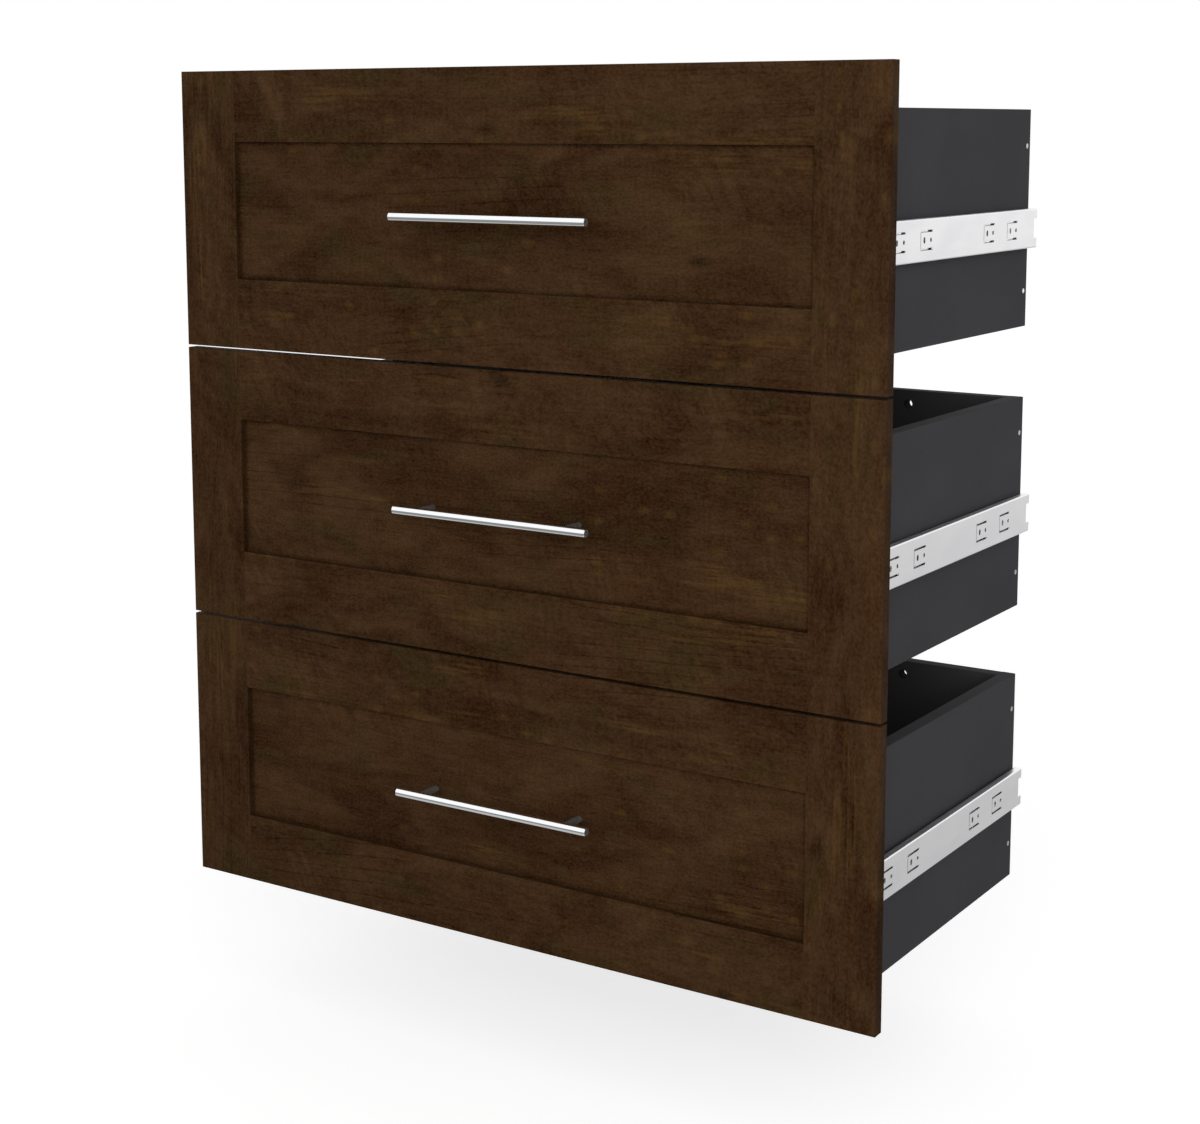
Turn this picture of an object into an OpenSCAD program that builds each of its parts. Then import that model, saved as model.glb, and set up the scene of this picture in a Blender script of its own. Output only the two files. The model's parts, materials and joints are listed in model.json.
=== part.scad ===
// Closet drawer insert: a bank of overlay drawers on telescopic ball-bearing slides.
// Everything is in millimetres. X runs across the fronts, Y from the fronts to the back, Z is up.
// The origin lies on the bottom plane, under the middle of the whole bank.

/* [Drawer fronts] */
// Width of each drawer front
front_w = 900; // [700:1:1100]
// Height of each drawer front
front_h = 317; // [300:1:400]
// Thickness of the stiles and rails
front_t = 16; // [15:0.5:20]
// Gap between one front and the next
front_gap = 3; // [2:0.5:6]
// Width of the upright stiles
stile_w = 80; // [60:1:110]
// Width of the level rails
rail_w = 80; // [76:1:100]
// Depth of the panel's face behind the frame's face
panel_recess = 6; // [4:0.5:7]
// Thickness of the tongues, and width of the grooves that take them
tongue_t = 5; // [4:0.5:6]
// Length of the tongues round the panel and on the ends of the rails
tongue_l = 8; // [5:0.5:10]
// Radius of the outer edges of each front
front_edge_r = 1; // [0.5:0.25:2]

/* [Boxes] */
// Distance from the top of a front down to the top edge of its box
box_drop = 44; // [36:1:48]
// Distance from the bottom of a front up to the lower edge of its box
box_lift = 33; // [24:1:42]
// Length of a box from front to back
box_l = 406; // [401:1:500]
// Thickness of the box boards
board_t = 16; // [12:0.5:18]
// Radius of the banded edges of the box boards
band_r = 0.8; // [0.4:0.1:1.5]
// Thickness of the bottom panel
bottom_t = 3; // [3:0.5:5]
// Height of the bottom panel above the lower edge of the box
bottom_rise = 12; // [8:0.5:14]
// Depth of the groove that holds the bottom panel
bottom_groove = 6; // [4:0.5:8]
// Diameter of the two holes through the back board
back_hole_d = 10; // [5:0.5:12]
// Distance from a box's side to the hole beside it in the back board
back_hole_in = 133; // [60:1:160]
// Distance from a box's upper edge to the holes in the back board
back_hole_drop = 16; // [10:0.5:24]
// How far each front laps over the closet's side panel
side_overlay = 16; // [12:1:20]

/* [Handles] */
// Diameter of the handle bar
bar_d = 10; // [8:0.5:14]
// Length of the handle bar
bar_l = 252; // [220:1:400]
// Distance between the two handle posts
post_pitch = 192; // [96:32:192]
// Diameter of the handle posts
post_d = 8; // [6:0.5:8]
// Distance from the panel's face to the axis of the handle bar
bar_standoff = 31.5; // [26:0.5:40]
// Width of the chamfer at the ends of the handle bar
bar_ease = 0.8; // [0.4:0.1:1.5]
// How deep the posts sit in the bar
socket_depth = 3; // [2:0.5:4]

/* [Slides] */
// Thickness of a closed slide, from the box side to the closet side
slide_t = 12.7; // [12.5:0.1:13.5]
// Height of the cabinet member
slide_h = 43; // [41:0.5:46]
// Length of the cabinet and drawer members, and travel of the drawer
slide_l = 400; // [350:5:400]
// Distance from the top edge of a box down to the middle line of its slides
slide_drop = 130; // [60:1:170]
// Gap between the back of a front and the front end of its slides
slide_setback = 0.5; // [0.4:0.1:3]
// Thickness of the steel sheet
sheet_t = 1.2; // [1:0.1:1.3]
// Outside radius of the bends in the steel sheet
bend_r = 1.6; // [1.4:0.1:2.5]
// Gap between the web of the cabinet member and the web of the middle member
web_gap = 2.1; // [1.8:0.1:2.4]
// How much shorter the middle member is at each end
middle_inset = 6; // [3:0.5:8]
// Diameter of the steel balls
ball_d = 4; // [3.6:0.1:4.2]
// Number of balls in each strip
ball_count = 7; // [3:1:9]
// Thickness of the strips that hold the balls
strip_t = 0.6; // [0.4:0.1:0.8]
// Distance from the end of a ball strip to the end of its race at full travel
strip_margin = 8; // [7:0.5:16]
// Width of steel beside the balls in an outer strip
outer_strip_edge = 1.2; // [0.6:0.1:1.4]
// Width of steel beside the balls in an inner strip
inner_strip_edge = 0.6; // [0.4:0.1:0.8]

/* [Slide punchings] */
// Distance from the front end of the slide to the first screw slot
first_hole = 35; // [30:0.5:40]
// Spacing of the closet's row of holes, which the punchings follow
hole_row = 32; // [25:1:32]
// Distance from the screw slot to the round screw hole behind it
hole_pair = 16; // [12:0.5:18]
// Diameter of the screw holes in the members
screw_hole_d = 4.5; // [4:0.1:5]
// Height of the upright screw slots
slot_h = 6.4; // [5:0.1:8]
// Distance from the front cut of a clip to its screw slot
clip_lead = 9.2; // [7:0.1:10]
// Length of each three-sided clip cut round a pair of screw holes
clip_l = 29; // [26:0.5:31]
// Height of each clip, between the middles of its cuts
clip_h = 18; // [14:0.5:20]
// Width of the long cuts of a clip
clip_cut = 2.3; // [1:0.1:3]
// Width of the short cut at the front of a clip
clip_end_cut = 1; // [0.6:0.1:2]
// Depth of the notch in the rear end of the cabinet member
notch_l = 8.3; // [5:0.1:12]
// Height of that notch
notch_h = 21.4; // [16:0.1:24]
// Length of the windows in the middle member
window_l = 44; // [20:1:50]
// Height of the windows in the middle member
window_h = 11; // [8:0.5:14]

/* [Fasteners] */
// Distance from a box's upper or lower edge to its corner screws
corner_screw_inset = 40; // [30:1:50]
// Shank diameter of the corner screws
corner_screw_d = 3; // [2.5:0.5:4]
// Length of the corner screws
corner_screw_l = 40; // [30:1:60]
// Head diameter of the countersunk corner screws
corner_head_d = 5.6; // [5.2:0.1:8]
// Shank diameter of the screws that hold the front
front_screw_d = 4; // [3:0.5:4.5]
// Distance from a box's side to the holes for the screws that hold the front
front_screw_in = 128; // [100:1:160]
// Distance from a box's upper edge to the upper front screws
front_screw_drop = 16; // [12:0.5:18]
// Distance from a box's lower edge to the lower front screws
front_screw_rise = 24; // [24:0.5:27]
// How deep the front screws go into the rails
front_screw_bite = 12; // [8:0.5:13]
// Diameter of the clearance holes in the box's front board
through_hole_d = 5; // [4.8:0.1:5.6]
// Diameter of the pan heads on the front and handle screws
pan_head_d = 8; // [6.5:0.1:9]
// Height of those pan heads
pan_head_h = 2.4; // [1.6:0.1:3]
// Thread diameter of the handle screws
handle_screw_d = 4; // [3:0.5:4.5]
// How deep the handle screws go into the posts
handle_screw_bite = 9; // [6:0.5:14]
// Shank diameter of the slide screws
slide_screw_d = 3.5; // [3:0.1:3.8]
// Length of the slide screws under their heads
slide_screw_l = 12; // [8:0.5:12.5]
// Head diameter of the slide screws
slide_head_d = 7; // [6:0.1:8]
// Head height of the slide screws
slide_head_h = 2; // [1.4:0.1:2.4]
// Depth of the cross recesses in the screw heads
recess_depth = 0.8; // [0.4:0.1:1]

/* [Clearances] */
// Slack round tongues, tenons and the bottom panel in their grooves
groove_slack = 0.5; // [0.3:0.1:1]
// Gap between a ball and the race or the hole that holds it
ball_gap = 0.15; // [0.1:0.01:0.2]
// Gap between a screw or post and the hole that it fills
hole_gap = 0.05; // [0.03:0.01:0.1]
// Gap between an outer ball strip and the bend of the middle member
strip_gap = 0.65; // [0.4:0.05:0.9]
// Slack over the bottom panel in its groove
bottom_slack = 0.2; // [0.1:0.1:0.5]

/* [Hidden] */
DRAWERS = ["bottom", "middle", "top"];
PIECES = [
  "front_stiles", "front_rails", "front_panel",
  "handle_bar", "handle_posts", "handle_screws",
  "box_sides", "box_front", "box_back", "box_bottom", "box_screws", "slide_screws",
  "left_cabinet_member", "right_cabinet_member",
  "left_middle_member", "right_middle_member",
  "left_drawer_member", "right_drawer_member",
  "outer_ball_cages", "inner_ball_cages"
];

wood = [0.25, 0.17, 0.11];
chrome = [0.86, 0.87, 0.88];
charcoal = [0.23, 0.23, 0.24];
zinc = [0.78, 0.79, 0.8];
steel = [0.6, 0.62, 0.64];

// A cut runs this far past the faces that it opens
past = 1;

// The front: the opening between its stiles and rails, and the groove round that opening
drawer_pitch = front_h + front_gap;
opening_w = front_w - 2 * stile_w;
opening_h = front_h - 2 * rail_w;
groove_l = tongue_l + groove_slack;
front_mid = front_h / 2;

// The box: it hangs between the closet's sides with a slide on each side
closet_w = front_w - 2 * side_overlay;
box_w = closet_w - 2 * slide_t;
box_h = front_h - box_drop - box_lift;
box_top = front_h - box_drop;
box_back = front_t + box_l;
inner_w = box_w - 2 * board_t;
front_board_back = front_t + board_t;
back_board_front = box_back - board_t;
bottom_groove_t = bottom_t + bottom_slack;
corner_screw_ys = [front_t + board_t / 2, box_back - board_t / 2];
corner_screw_zs = [box_lift + corner_screw_inset, box_top - corner_screw_inset];
front_screw_x = box_w / 2 - front_screw_in;
front_screw_zs = [box_lift + front_screw_rise, box_top - front_screw_drop];
back_hole_x = box_w / 2 - back_hole_in;

// The handle: its bar lies in front of the panel, and its posts sit in sockets in the bar
bar_y = panel_recess - bar_standoff;
socket_y = bar_y + bar_d / 2 - socket_depth;
post_l = panel_recess - socket_y;

// Shares of a screw head's diameter: the flat of its crown, and the arms of its cross recess
crown_share = 0.6;
recess_l_share = 0.5;
recess_w_share = 0.125;

// The slide: distances s are measured outwards from the box's side, heights from the middle line
slide_z = box_top - slide_drop;
slide_y = front_t + slide_setback;
slide_end = slide_y + slide_l;
slide_mid = slide_y + slide_l / 2;
race_r = ball_d / 2 + ball_gap;
race_back_r = race_r + sheet_t;
race_mid_r = (race_r + race_back_r) / 2;
// Degrees: how far the races lean over each other, how far each lip turns, and the races' lap
race_lean = 30;
cabinet_lip_turn = 75;
middle_lip_turn = 60;
drawer_lip_turn = 60;
drawer_heel_turn = 60;
race_lap = 1;
middle_web_s = slide_t - 2 * sheet_t - web_gap;
outer_ball_s = middle_web_s - race_r;
outer_ball_z = slide_h / 2 - sheet_t - race_r;
inner_ball_s = outer_ball_s - 2 * race_mid_r * sin(race_lean);
inner_ball_z = outer_ball_z - 2 * race_mid_r * cos(race_lean);
middle_top = outer_ball_z - strip_t / 2 - strip_gap;
drawer_web_top = inner_ball_z - race_r * cos(drawer_heel_turn);
drawer_heel_s = inner_ball_s - race_r * sin(drawer_heel_turn);

// The ball strips fill what overlaps at full travel, which is half the slide
strip_l = slide_l / 2 - 2 * strip_margin;
ball_hole_d = ball_d + 2 * ball_gap;
ball_pitch = (strip_l - 2 * ball_d) / (ball_count - 1);
outer_strip_w = ball_d + 2 * outer_strip_edge;
inner_strip_w = ball_d + 2 * inner_strip_edge;

// The punchings: the clips lie on whole steps of the closet's row of holes
clip_steps = [0, 2, 7, 9];
clip_holes = [
  for (step = clip_steps)
    let (at = first_hole + step * hole_row)
      if (at - clip_lead + clip_l < slide_l - notch_l - clip_cut) at
];
slide_screw_steps = [0, 4, 8];
slide_screw_ys = [for (step = slide_screw_steps) slide_y + first_hole + step * hole_row];
window_steps = [1.5, 4, 6.5];

// The whole bank, whose middle is the origin
bank_front = bar_y - bar_d / 2;
bank_back = max(box_back, slide_end);
origin_y = (bank_front + bank_back) / 2;

// Places what belongs to one drawer, counted from the bottom
module at_drawer(i) {
  translate([0, -origin_y, i * drawer_pitch]) children();
}

// Makes a left copy of a right-hand piece beside it
module both_sides() {
  children();
  mirror([1, 0, 0]) children();
}

// Makes a lower copy of the upper half of a slide's outline
module both_edges() {
  children();
  mirror([0, 1]) children();
}

// Turns an outline in (Y, Z) into a solid of the given length, centred across X
module across(length) {
  rotate([90, 0, 90]) linear_extrude(length, center = true) children();
}

// Turns an outline in (X, Z) into a solid that runs back from y
module along(y, length) {
  translate([0, y + length, 0]) rotate([90, 0, 0]) linear_extrude(length) children();
}

// A rod along Y from y, of the given length
module rod(x, y, z, d, length) {
  translate([x, y, z]) rotate([-90, 0, 0]) cylinder(d = d, h = length, $fn = 48);
}

// A rectangle from the origin with four rounded corners
module rounded_outline(w, h, r) {
  translate([r, 0]) square([w - 2 * r, h]);
  translate([0, r]) square([w, h - 2 * r]);
  for (x = [r, w - r])
    for (y = [r, h - r])
      translate([x, y]) circle(r, $fn = 32);
}

// The direction at an angle counted from the outward one
function direction(angle) = [cos(angle), sin(angle)];

// Part of a ring, between two angles counted from the outward direction
module ring_part(r_in, r_out, from, to) {
  reach = 2 * r_out;
  intersection() {
    difference() {
      circle(r_out, $fn = 64);
      circle(r_in, $fn = 64);
    }
    polygon(concat([[0, 0]], [for (k = [0:3]) reach * direction(from + (to - from) * k / 3)]));
  }
}

// The outer form of one front, with its edges eased all round
module front_blank() {
  intersection() {
    translate([-front_w / 2, 0, 0]) linear_extrude(front_h) rounded_outline(front_w, front_t, front_edge_r);
    across(front_w) rounded_outline(front_t, front_h, front_edge_r);
  }
}

// Two upright stiles with a groove down the inner edge
module front_stiles() {
  color(wood) both_sides() difference() {
    intersection() {
      front_blank();
      translate([opening_w / 2, -past, -past])
        cube([stile_w + past, front_t + 2 * past, front_h + 2 * past]);
    }
    translate([opening_w / 2 - past, panel_recess, -past])
      cube([groove_l + past, tongue_t, front_h + 2 * past]);
  }
}

// Two level rails with a groove along the inner edge and a stub tenon at each end
module front_rails() {
  color(wood) for (upper = [false, true])
    translate([0, 0, upper ? front_h : 0]) mirror([0, 0, upper ? 1 : 0]) difference() {
      screw_z = upper ? front_h - front_screw_zs[1] : front_screw_zs[0];
      union() {
        intersection() {
          front_blank();
          translate([-opening_w / 2, -past, -past]) cube([opening_w, front_t + 2 * past, rail_w + past]);
        }
        translate([-opening_w / 2 - tongue_l, panel_recess, 0])
          cube([opening_w + 2 * tongue_l, tongue_t, rail_w - groove_l]);
      }
      translate([-front_w / 2, panel_recess, rail_w - groove_l]) cube([front_w, tongue_t, groove_l + past]);
      for (x = [-front_screw_x, front_screw_x])
        rod(x, front_t - front_screw_bite - groove_slack, screw_z, front_screw_d + 2 * hole_gap,
          front_screw_bite + groove_slack + past);
    }
}

// The recessed panel, whose tongue runs in the grooves of the frame and whose back is flush with it
module front_panel() {
  color(wood) difference() {
    union() {
      translate([-opening_w / 2 - tongue_l, panel_recess, rail_w - tongue_l])
        cube([opening_w + 2 * tongue_l, tongue_t, opening_h + 2 * tongue_l]);
      translate([-opening_w / 2 + groove_slack, panel_recess, rail_w + groove_slack])
        cube([opening_w - 2 * groove_slack, front_t - panel_recess, opening_h - 2 * groove_slack]);
    }
    for (x = [-post_pitch / 2, post_pitch / 2])
      rod(x, panel_recess - past, front_mid, handle_screw_d + 2 * groove_slack, front_t);
  }
}

// The handle bar: eased ends, and a socket for each post
module handle_bar() {
  r = bar_d / 2;
  half = bar_l / 2;
  color(chrome) difference() {
    translate([0, bar_y, front_mid]) rotate([0, 90, 0]) rotate_extrude($fn = 64)
      polygon([
        [0, -half], [r - bar_ease, -half], [r, bar_ease - half],
        [r, half - bar_ease], [r - bar_ease, half], [0, half]
      ]);
    for (x = [-post_pitch / 2, post_pitch / 2])
      rod(x, socket_y, front_mid, post_d + 2 * hole_gap, bar_d);
  }
}

// Two handle posts, tapped at the panel end
module handle_posts() {
  color(chrome) for (x = [-post_pitch / 2, post_pitch / 2])
    difference() {
      rod(x, socket_y, front_mid, post_d, post_l);
      rod(x, panel_recess - handle_screw_bite - groove_slack, front_mid, handle_screw_d + 2 * hole_gap,
        handle_screw_bite + groove_slack + past);
    }
}

// A pan-head screw whose shank runs forward from y, with a cross recess in the head
module pan_screw(shank_d, shank_l, head_d, head_h) {
  rotate([90, 0, 0]) cylinder(d = shank_d, h = shank_l, $fn = 32);
  difference() {
    rotate([-90, 0, 0]) union() {
      cylinder(d = head_d, h = head_h / 2, $fn = 48);
      translate([0, 0, head_h / 2])
        cylinder(d1 = head_d, d2 = head_d * crown_share, h = head_h / 2, $fn = 48);
    }
    translate([0, head_h, 0]) cross_recess(head_d);
  }
}

// The cross cut into the end of a head that faces +Y and ends at the origin
module cross_recess(head_d) {
  arm_l = head_d * recess_l_share;
  arm_w = head_d * recess_w_share;
  for (turn = [0, 90])
    rotate([0, turn, 0]) translate([-arm_l / 2, -recess_depth, -arm_w / 2])
      cube([arm_l, recess_depth + past, arm_w]);
}

// The two screws that clamp the handle through the box front and the panel
module handle_screws() {
  length = front_board_back - panel_recess + handle_screw_bite;
  color(zinc) for (x = [-post_pitch / 2, post_pitch / 2])
    translate([x, front_board_back, front_mid]) pan_screw(handle_screw_d, length, pan_head_d, pan_head_h);
}

// The groove that holds the bottom panel, cut round the inside of all four boards
module bottom_groove_cut() {
  slot_x = inner_w / 2 + bottom_groove;
  translate([-slot_x, front_board_back - bottom_groove, box_lift + bottom_rise])
    cube([2 * slot_x, back_board_front - front_board_back + 2 * bottom_groove, bottom_groove_t]);
}

// Two box sides, with the groove, the pilot holes of the slide and the countersunk corner holes
module box_sides() {
  color(charcoal) both_sides() difference() {
    along(front_t, box_l) translate([inner_w / 2, box_lift]) rounded_outline(board_t, box_h, band_r);
    bottom_groove_cut();
    for (y = slide_screw_ys)
      translate([box_w / 2 - slide_screw_l + sheet_t - groove_slack, y, slide_z]) rotate([0, 90, 0])
        cylinder(d = slide_screw_d + 2 * hole_gap, h = slide_screw_l + past, $fn = 32);
    for (y = corner_screw_ys)
      for (z = corner_screw_zs)
        translate([box_w / 2, y, z]) rotate([0, 90, 0]) flat_screw_form(hole_gap, board_t + past);
  }
}

// A board between the sides, with the groove and the holes of the corner screws
module cross_board(y) {
  difference() {
    across(inner_w) translate([y, box_lift]) rounded_outline(board_t, box_h, band_r);
    bottom_groove_cut();
    both_sides() for (end = corner_screw_ys)
      for (z = corner_screw_zs)
        translate([box_w / 2, end, z]) rotate([0, 90, 0])
          flat_screw_form(hole_gap, corner_screw_l + groove_slack);
  }
}

// The front board of the box, drilled for the screws of the front and of the handle
module box_front() {
  color(charcoal) difference() {
    cross_board(front_t);
    for (x = [-front_screw_x, front_screw_x])
      for (z = front_screw_zs)
        rod(x, front_t - past, z, through_hole_d, board_t + 2 * past);
    for (x = [-post_pitch / 2, post_pitch / 2])
      rod(x, front_t - past, front_mid, handle_screw_d + 2 * groove_slack, board_t + 2 * past);
  }
}

// The back board of the box, with two holes near its upper edge
module box_back() {
  color(charcoal) difference() {
    cross_board(back_board_front);
    for (x = [-back_hole_x, back_hole_x])
      rod(x, back_board_front - past, box_top - back_hole_drop, back_hole_d, board_t + 2 * past);
  }
}

// The thin bottom panel in its grooves
module box_bottom() {
  reach = bottom_groove - groove_slack;
  color(charcoal)
    translate([-inner_w / 2 - reach, front_board_back - reach, box_lift + bottom_rise])
      cube([inner_w + 2 * reach, back_board_front - front_board_back + 2 * reach, bottom_t]);
}

// The body of a countersunk screw whose head ends at the origin and whose shank runs down
module flat_screw_form(gap, length) {
  head_r = corner_head_d / 2 + gap;
  shank_r = corner_screw_d / 2 + gap;
  sink = head_r - shank_r;
  translate([0, 0, -length]) cylinder(r = shank_r, h = length, $fn = 32);
  translate([0, 0, -sink]) cylinder(r1 = shank_r, r2 = head_r, h = sink, $fn = 48);
}

// Eight countersunk corner screws and four pan-head screws into the rails
module box_screws() {
  color(zinc) {
    both_sides() for (y = corner_screw_ys)
      for (z = corner_screw_zs)
        translate([box_w / 2, y, z]) difference() {
          rotate([0, 90, 0]) flat_screw_form(0, corner_screw_l);
          rotate([0, 0, -90]) cross_recess(corner_head_d);
        }
    for (x = [-front_screw_x, front_screw_x])
      for (z = front_screw_zs)
        translate([x, front_board_back, z])
          pan_screw(front_screw_d, board_t + front_screw_bite, pan_head_d, pan_head_h);
  }
}

// The screws that hold the drawer members to the box sides
module slide_screws() {
  color(zinc) both_sides() for (y = slide_screw_ys)
    translate([box_w / 2 + sheet_t, y, slide_z]) rotate([0, 0, -90])
      pan_screw(slide_screw_d, slide_screw_l, slide_head_d, slide_head_h);
}

// Runs a slide outline along the right-hand side of the box
module slide_bar(y, length) {
  along(y, length) translate([box_w / 2, slide_z]) children();
}

// Cabinet member: a web against the closet's side, and two flanges that curl over the outer balls
module cabinet_outline() {
  flange_z = slide_h / 2 - bend_r;
  translate([slide_t - sheet_t, -flange_z]) square([sheet_t, 2 * flange_z]);
  both_edges() {
    translate([slide_t - bend_r, flange_z]) ring_part(bend_r - sheet_t, bend_r, 0, 90);
    translate([outer_ball_s, slide_h / 2 - sheet_t]) square([slide_t - bend_r - outer_ball_s, sheet_t]);
    translate([outer_ball_s, outer_ball_z]) ring_part(race_r, race_back_r, 90, 90 + cabinet_lip_turn);
  }
}

// Middle member: a web, and two flanges that dip under the outer balls and curl over the inner ones
module middle_outline() {
  corner = [middle_web_s + sheet_t - bend_r, middle_top - bend_r];
  difference() {
    union() {
      translate([middle_web_s, -corner[1]]) square([sheet_t, 2 * corner[1]]);
      both_edges() {
        translate(corner) ring_part(bend_r - sheet_t, bend_r, 0, 90);
        translate([outer_ball_s, outer_ball_z])
          ring_part(race_r, race_back_r, -90 - race_lean - race_lap, -race_lean);
        translate([inner_ball_s, inner_ball_z])
          ring_part(race_r, race_back_r, 90 - race_lean - race_lap, 90 + middle_lip_turn);
      }
    }
    both_edges() translate([outer_ball_s, outer_ball_z]) circle(race_r, $fn = 64);
  }
}

// Drawer member: a web against the box's side, and two flanges that cradle the inner balls,
// each joined to the web by its heel
module drawer_outline() {
  difference() {
    union() {
      translate([0, -drawer_web_top]) square([sheet_t, 2 * drawer_web_top]);
      both_edges() {
        polygon([
          [0, drawer_web_top - sheet_t], [sheet_t, drawer_web_top - sheet_t],
          [drawer_heel_s, drawer_web_top], [0, drawer_web_top]
        ]);
        translate([inner_ball_s, inner_ball_z])
          ring_part(race_r, race_back_r, -90 - drawer_heel_turn, -90 + drawer_lip_turn);
      }
    }
    both_edges() translate([inner_ball_s, inner_ball_z]) circle(race_r, $fn = 64);
  }
}

// A flat shape in (Y, Z) from the front end of the slide, cut through every web
module punched() {
  translate([box_w / 2 + slide_t / 2, slide_y, slide_z]) across(slide_t + 2 * past) children();
}

// A slot with round ends, centred on the origin
module slot_outline(length, height) {
  long = max(length, height);
  short = min(length, height);
  turn = height > length ? 90 : 0;
  rotate(turn) {
    square([long - short, short], center = true);
    for (x = [-1, 1])
      translate([x * (long - short) / 2, 0]) circle(d = short, $fn = 32);
  }
}

// One clip: two long cuts, a short cut at its front, a screw slot and a round screw hole
module clip_outline() {
  translate([-clip_lead, 0]) {
    for (z = [-clip_h / 2, clip_h / 2])
      translate([clip_l / 2, z]) slot_outline(clip_l, clip_cut);
    translate([clip_end_cut / 2, 0]) square([clip_end_cut, clip_h], center = true);
  }
  slot_outline(screw_hole_d, slot_h);
  translate([hole_pair, 0]) circle(d = screw_hole_d, $fn = 32);
}

// The right-hand cabinet member
module cabinet_member() {
  color(zinc) difference() {
    slide_bar(slide_y, slide_l) cabinet_outline();
    punched() {
      for (at = clip_holes)
        translate([at, 0]) clip_outline();
      translate([slide_l - notch_l, -notch_h / 2]) square([notch_l + past, notch_h]);
    }
  }
}

// The right-hand middle member, with windows that give a way to the screws behind it
module middle_member() {
  color(steel) difference() {
    slide_bar(slide_y + middle_inset, slide_l - 2 * middle_inset) middle_outline();
    punched() for (step = window_steps)
      translate([first_hole + step * hole_row, 0]) slot_outline(window_l, window_h);
  }
}

// The right-hand drawer member
module drawer_member() {
  color(zinc) difference() {
    slide_bar(slide_y, slide_l) drawer_outline();
    for (y = slide_screw_ys)
      translate([box_w / 2 - past, y, slide_z]) rotate([0, 90, 0])
        cylinder(d = slide_screw_d + 2 * hole_gap, h = sheet_t + 2 * past, $fn = 32);
  }
}

// Upper and lower strips of one slide, each with its row of balls, round a ball line at s and z
module ball_strips(s, z, width) {
  for (side = [-1, 1])
    translate([box_w / 2 + s, slide_mid, slide_z + side * z]) {
      difference() {
        translate([-width / 2, -strip_l / 2, -strip_t / 2]) cube([width, strip_l, strip_t]);
        for (k = [0:ball_count - 1])
          translate([0, (k - (ball_count - 1) / 2) * ball_pitch, -past])
            cylinder(d = ball_hole_d, h = strip_t + 2 * past, $fn = 32);
      }
      for (k = [0:ball_count - 1])
        translate([0, (k - (ball_count - 1) / 2) * ball_pitch, 0]) sphere(d = ball_d, $fn = 32);
    }
}

// Outer balls, between the cabinet members and the middle members
module outer_ball_cages() {
  color(steel) both_sides() ball_strips(outer_ball_s, outer_ball_z, outer_strip_w);
}

// Inner balls, between the middle members and the drawer members
module inner_ball_cages() {
  color(steel) both_sides() ball_strips(inner_ball_s, inner_ball_z, inner_strip_w);
}

for (i = [0:len(DRAWERS) - 1]) {
  at_drawer(i) front_stiles();
  at_drawer(i) front_rails();
  at_drawer(i) front_panel();
  at_drawer(i) handle_bar();
  at_drawer(i) handle_posts();
  at_drawer(i) handle_screws();
  at_drawer(i) box_sides();
  at_drawer(i) box_front();
  at_drawer(i) box_back();
  at_drawer(i) box_bottom();
  at_drawer(i) box_screws();
  at_drawer(i) slide_screws();
  at_drawer(i) mirror([1, 0, 0]) cabinet_member();
  at_drawer(i) cabinet_member();
  at_drawer(i) mirror([1, 0, 0]) middle_member();
  at_drawer(i) middle_member();
  at_drawer(i) mirror([1, 0, 0]) drawer_member();
  at_drawer(i) drawer_member();
  at_drawer(i) outer_ball_cages();
  at_drawer(i) inner_ball_cages();
}
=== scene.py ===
"""Closet drawer insert: the finish of every piece, the release levers of the slides, and the stage."""

import json
import math
from collections import namedtuple

import bmesh
import bpy
from bpy.props import FloatProperty, FloatVectorProperty, IntProperty
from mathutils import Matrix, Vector

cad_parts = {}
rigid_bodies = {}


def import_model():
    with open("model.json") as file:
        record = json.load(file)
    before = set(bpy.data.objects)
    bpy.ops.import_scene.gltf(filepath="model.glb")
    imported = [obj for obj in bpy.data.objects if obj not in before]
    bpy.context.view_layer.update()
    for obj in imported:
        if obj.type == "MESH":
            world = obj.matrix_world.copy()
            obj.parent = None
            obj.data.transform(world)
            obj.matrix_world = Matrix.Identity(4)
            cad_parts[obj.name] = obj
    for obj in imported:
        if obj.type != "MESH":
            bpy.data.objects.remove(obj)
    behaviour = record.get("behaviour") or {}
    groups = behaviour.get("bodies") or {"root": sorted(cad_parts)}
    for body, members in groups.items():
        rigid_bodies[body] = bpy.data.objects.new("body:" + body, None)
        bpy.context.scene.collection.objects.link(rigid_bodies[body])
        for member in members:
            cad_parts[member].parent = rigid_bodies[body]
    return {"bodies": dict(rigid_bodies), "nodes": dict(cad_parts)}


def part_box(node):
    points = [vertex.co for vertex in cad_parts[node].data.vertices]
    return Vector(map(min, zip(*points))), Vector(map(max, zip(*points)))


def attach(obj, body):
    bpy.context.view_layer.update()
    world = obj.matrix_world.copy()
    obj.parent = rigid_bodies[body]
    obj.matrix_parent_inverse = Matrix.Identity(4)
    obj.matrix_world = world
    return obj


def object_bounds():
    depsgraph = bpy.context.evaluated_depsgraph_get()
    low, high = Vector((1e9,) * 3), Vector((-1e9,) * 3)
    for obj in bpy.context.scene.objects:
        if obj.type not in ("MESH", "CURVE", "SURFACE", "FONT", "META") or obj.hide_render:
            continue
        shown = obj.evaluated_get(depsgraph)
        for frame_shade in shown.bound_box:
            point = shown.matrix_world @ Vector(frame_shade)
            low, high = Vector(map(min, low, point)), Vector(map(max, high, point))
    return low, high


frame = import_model()
CAD_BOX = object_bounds()

bl_info = {
    "name": "Closet drawer insert",
    "version": (1, 0, 0),
    "blender": (4, 5, 0),
    "location": "View3D > Sidebar > Drawer insert",
    "description": "Finishes a bank of closet drawers and sets its stage",
    "category": "Object",
}

DRAWERS = [name[:-len("_drawer")] for name in frame["bodies"] if name.endswith("_drawer")]
SIDES = ("left", "right")
OUTWARD = {"left": -1, "right": 1}

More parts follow.
